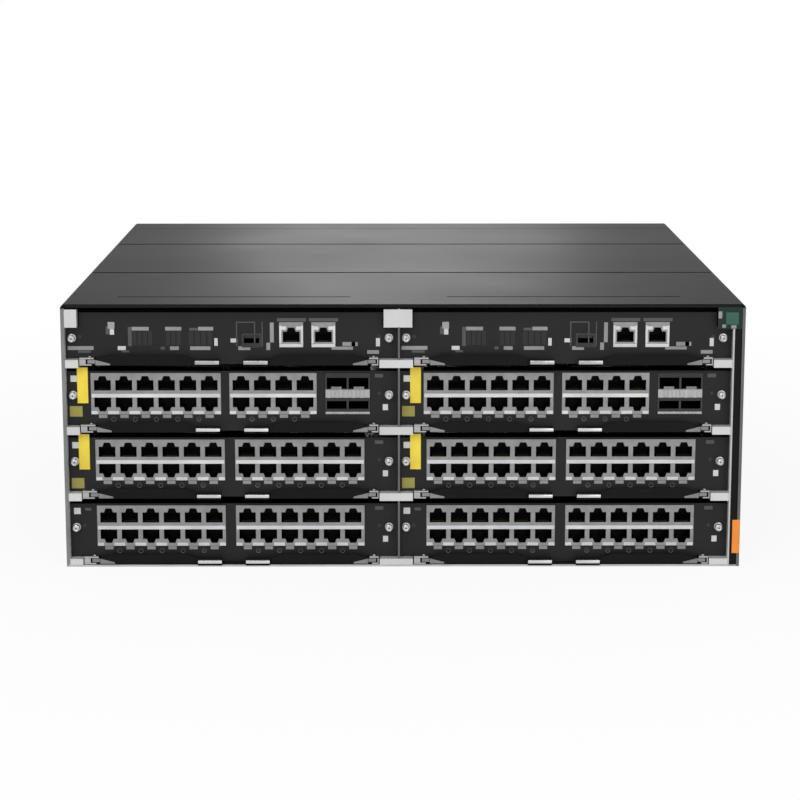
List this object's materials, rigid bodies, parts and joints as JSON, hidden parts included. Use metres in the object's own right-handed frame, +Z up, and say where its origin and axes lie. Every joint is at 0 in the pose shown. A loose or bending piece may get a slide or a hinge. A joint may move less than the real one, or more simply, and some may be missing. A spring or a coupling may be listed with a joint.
{
  "type": "modular chassis switch",
  "caption": "Rack-mount network switch chassis with slide-in port modules held by ejector levers, rear power supplies and a fan drawer.",
  "frame": {"origin": "middle of the outline at the base the chassis stands on", "axes": "+Z up, the ports face -Y, +X to the right as the front is seen"},
  "size_m": [0.4444, 0.47, 0.1753],
  "materials": {
    "case_paint": "satin",
    "face_paint": "satin",
    "black_plastic": "satin",
    "light_plastic": "satin",
    "zinc_plate": "bright",
    "nickel_shield": "satin",
    "supply_metal": "satin",
    "fan_metal": "satin",
    "circuit_board": "gloss"
  },
  "bodies": {
    "chassis": {"chassis_tray": "case_paint", "top_cover": "case_paint", "side_trim": "black_plastic", "bay_frame": "zinc_plate", "bay_shelves": "zinc_plate", "backplane": "circuit_board", "rear_shelf": "zinc_plate"},
    "manager_1": {"manager_1_carrier": "face_paint", "manager_1_board": "circuit_board", "manager_1_ports": "nickel_shield"},
    "manager_1_lever_left": {"manager_1_lever_left": "black_plastic"},
    "manager_1_lever_right": {"manager_1_lever_right": "black_plastic"},
    "manager_1_button": {"manager_1_button": "light_plastic"},
    "manager_2": {"manager_2_carrier": "face_paint", "manager_2_board": "circuit_board", "manager_2_ports": "nickel_shield"},
    "manager_2_lever_left": {"manager_2_lever_left": "black_plastic"},
    "manager_2_lever_right": {"manager_2_lever_right": "black_plastic"},
    "manager_2_button": {"manager_2_button": "light_plastic"},
    "card_1": {"card_1_carrier": "face_paint", "card_1_board": "circuit_board", "card_1_ports": "nickel_shield", "card_1_cages": "nickel_shield"},
    "card_1_lever_left": {"card_1_lever_left": "black_plastic"},
    "card_1_lever_right": {"card_1_lever_right": "black_plastic"},
    "card_2": {"card_2_carrier": "face_paint", "card_2_board": "circuit_board", "card_2_ports": "nickel_shield", "card_2_cages": "nickel_shield"},
    "card_2_lever_left": {"card_2_lever_left": "black_plastic"},
    "card_2_lever_right": {"card_2_lever_right": "black_plastic"},
    "card_3": {"card_3_carrier": "face_paint", "card_3_board": "circuit_board", "card_3_ports": "nickel_shield"},
    "card_3_lever_left": {"card_3_lever_left": "black_plastic"},
    "card_3_lever_right": {"card_3_lever_right": "black_plastic"},
    "card_4": {"card_4_carrier": "face_paint", "card_4_board": "circuit_board", "card_4_ports": "nickel_shield"},
    "card_4_lever_left": {"card_4_lever_left": "black_plastic"},
    "card_4_lever_right": {"card_4_lever_right": "black_plastic"},
    "card_5": {"card_5_carrier": "face_paint", "card_5_board": "circuit_board", "card_5_ports": "nickel_shield"},
    "card_5_lever_left": {"card_5_lever_left": "black_plastic"},
    "card_5_lever_right": {"card_5_lever_right": "black_plastic"},
    "card_6": {"card_6_carrier": "face_paint", "card_6_board": "circuit_board", "card_6_ports": "nickel_shield"},
    "card_6_lever_left": {"card_6_lever_left": "black_plastic"},
    "card_6_lever_right": {"card_6_lever_right": "black_plastic"},
    "supply_1": {"supply_1_housing": "supply_metal"},
    "supply_1_latch": {"supply_1_latch": "light_plastic"},
    "supply_2": {"supply_2_housing": "supply_metal"},
    "supply_2_latch": {"supply_2_latch": "light_plastic"},
    "fan_drawer": {"fan_tray": "fan_metal"},
    "fan_rotor_1": {"fan_rotor_1": "black_plastic"},
    "fan_rotor_2": {"fan_rotor_2": "black_plastic"},
    "fan_rotor_3": {"fan_rotor_3": "black_plastic"}
  },
  "joints": [
    {"name": "manager_1_slide", "type": "slide", "parent": "chassis", "child": "manager_1", "axis": [0, -1, 0], "range_m": [0, 0.26]},
    {"name": "manager_1_lever_left_hinge", "type": "hinge", "parent": "manager_1", "child": "manager_1_lever_left", "pos_m": [-0.20415, -0.22855, 0.1362], "axis": [0, 0, -1], "range_deg": [0, 75]},
    {"name": "manager_1_lever_right_hinge", "type": "hinge", "parent": "manager_1", "child": "manager_1_lever_right", "pos_m": [-0.01915, -0.22855, 0.1362], "axis": [0, 0, 1], "range_deg": [0, 75]},
    {"name": "manager_1_button_press", "type": "slide", "parent": "manager_1", "child": "manager_1_button", "axis": [0, 1, 0], "range_m": [0, 0.0006], "stiffness_N_per_m": 400},
    {"name": "manager_2_slide", "type": "slide", "parent": "chassis", "child": "manager_2", "axis": [0, -1, 0], "range_m": [0, 0.26]},
    {"name": "manager_2_lever_left_hinge", "type": "hinge", "parent": "manager_2", "child": "manager_2_lever_left", "pos_m": [0.01365, -0.22855, 0.1362], "axis": [0, 0, -1], "range_deg": [0, 75]},
    {"name": "manager_2_lever_right_hinge", "type": "hinge", "parent": "manager_2", "child": "manager_2_lever_right", "pos_m": [0.19865, -0.22855, 0.1362], "axis": [0, 0, 1], "range_deg": [0, 75]},
    {"name": "manager_2_button_press", "type": "slide", "parent": "manager_2", "child": "manager_2_button", "axis": [0, 1, 0], "range_m": [0, 0.0006], "stiffness_N_per_m": 400},
    {"name": "card_1_slide", "type": "slide", "parent": "chassis", "child": "card_1", "axis": [0, -1, 0], "range_m": [0, 0.26]},
    {"name": "card_1_lever_left_hinge", "type": "hinge", "parent": "card_1", "child": "card_1_lever_left", "pos_m": [-0.20415, -0.22855, 0.09175], "axis": [0, 0, -1], "range_deg": [0, 75]},
    {"name": "card_1_lever_right_hinge", "type": "hinge", "parent": "card_1", "child": "card_1_lever_right", "pos_m": [-0.01915, -0.22855, 0.09175], "axis": [0, 0, 1], "range_deg": [0, 75]},
    {"name": "card_2_slide", "type": "slide", "parent": "chassis", "child": "card_2", "axis": [0, -1, 0], "range_m": [0, 0.26]},
    {"name": "card_2_lever_left_hinge", "type": "hinge", "parent": "card_2", "child": "card_2_lever_left", "pos_m": [0.01365, -0.22855, 0.09175], "axis": [0, 0, -1], "range_deg": [0, 75]},
    {"name": "card_2_lever_right_hinge", "type": "hinge", "parent": "card_2", "child": "card_2_lever_right", "pos_m": [0.19865, -0.22855, 0.09175], "axis": [0, 0, 1], "range_deg": [0, 75]},
    {"name": "card_3_slide", "type": "slide", "parent": "chassis", "child": "card_3", "axis": [0, -1, 0], "range_m": [0, 0.26]},
    {"name": "card_3_lever_left_hinge", "type": "hinge", "parent": "card_3", "child": "card_3_lever_left", "pos_m": [-0.20415, -0.22855, 0.0473], "axis": [0, 0, -1], "range_deg": [0, 75]},
    {"name": "card_3_lever_right_hinge", "type": "hinge", "parent": "card_3", "child": "card_3_lever_right", "pos_m": [-0.01915, -0.22855, 0.0473], "axis": [0, 0, 1], "range_deg": [0, 75]},
    {"name": "card_4_slide", "type": "slide", "parent": "chassis", "child": "card_4", "axis": [0, -1, 0], "range_m": [0, 0.26]},
    {"name": "card_4_lever_left_hinge", "type": "hinge", "parent": "card_4", "child": "card_4_lever_left", "pos_m": [0.01365, -0.22855, 0.0473], "axis": [0, 0, -1], "range_deg": [0, 75]},
    {"name": "card_4_lever_right_hinge", "type": "hinge", "parent": "card_4", "child": "card_4_lever_right", "pos_m": [0.19865, -0.22855, 0.0473], "axis": [0, 0, 1], "range_deg": [0, 75]},
    {"name": "card_5_slide", "type": "slide", "parent": "chassis", "child": "card_5", "axis": [0, -1, 0], "range_m": [0, 0.26]},
    {"name": "card_5_lever_left_hinge", "type": "hinge", "parent": "card_5", "child": "card_5_lever_left", "pos_m": [-0.20415, -0.22855, 0.00285], "axis": [0, 0, -1], "range_deg": [0, 75]},
    {"name": "card_5_lever_right_hinge", "type": "hinge", "parent": "card_5", "child": "card_5_lever_right", "pos_m": [-0.01915, -0.22855, 0.00285], "axis": [0, 0, 1], "range_deg": [0, 75]},
    {"name": "card_6_slide", "type": "slide", "parent": "chassis", "child": "card_6", "axis": [0, -1, 0], "range_m": [0, 0.26]},
    {"name": "card_6_lever_left_hinge", "type": "hinge", "parent": "card_6", "child": "card_6_lever_left", "pos_m": [0.01365, -0.22855, 0.00285], "axis": [0, 0, -1], "range_deg": [0, 75]},
    {"name": "card_6_lever_right_hinge", "type": "hinge", "parent": "card_6", "child": "card_6_lever_right", "pos_m": [0.19865, -0.22855, 0.00285], "axis": [0, 0, 1], "range_deg": [0, 75]},
    {"name": "supply_1_slide", "type": "slide", "parent": "chassis", "child": "supply_1", "axis": [0, 1, 0], "range_m": [0, 0.14]},
    {"name": "supply_1_latch_press", "type": "slide", "parent": "supply_1", "child": "supply_1_latch", "axis": [-1, 0, 0], "range_m": [0, 0.003], "stiffness_N_per_m": 200},
    {"name": "supply_2_slide", "type": "slide", "parent": "chassis", "child": "supply_2", "axis": [0, 1, 0], "range_m": [0, 0.14]},
    {"name": "supply_2_latch_press", "type": "slide", "parent": "supply_2", "child": "supply_2_latch", "axis": [-1, 0, 0], "range_m": [0, 0.003], "stiffness_N_per_m": 200},
    {"name": "fan_drawer_slide", "type": "slide", "parent": "chassis", "child": "fan_drawer", "axis": [0, 1, 0], "range_m": [0, 0.06]},
    {"name": "fan_rotor_1_spin", "type": "hinge", "parent": "fan_drawer", "child": "fan_rotor_1", "pos_m": [-0.134, 0.19295, 0.1076], "axis": [0, 1, 0], "continuous": true},
    {"name": "fan_rotor_2_spin", "type": "hinge", "parent": "fan_drawer", "child": "fan_rotor_2", "pos_m": [0, 0.19295, 0.1076], "axis": [0, 1, 0], "continuous": true},
    {"name": "fan_rotor_3_spin", "type": "hinge", "parent": "fan_drawer", "child": "fan_rotor_3", "pos_m": [0.134, 0.19295, 0.1076], "axis": [0, 1, 0], "continuous": true}
  ]
}
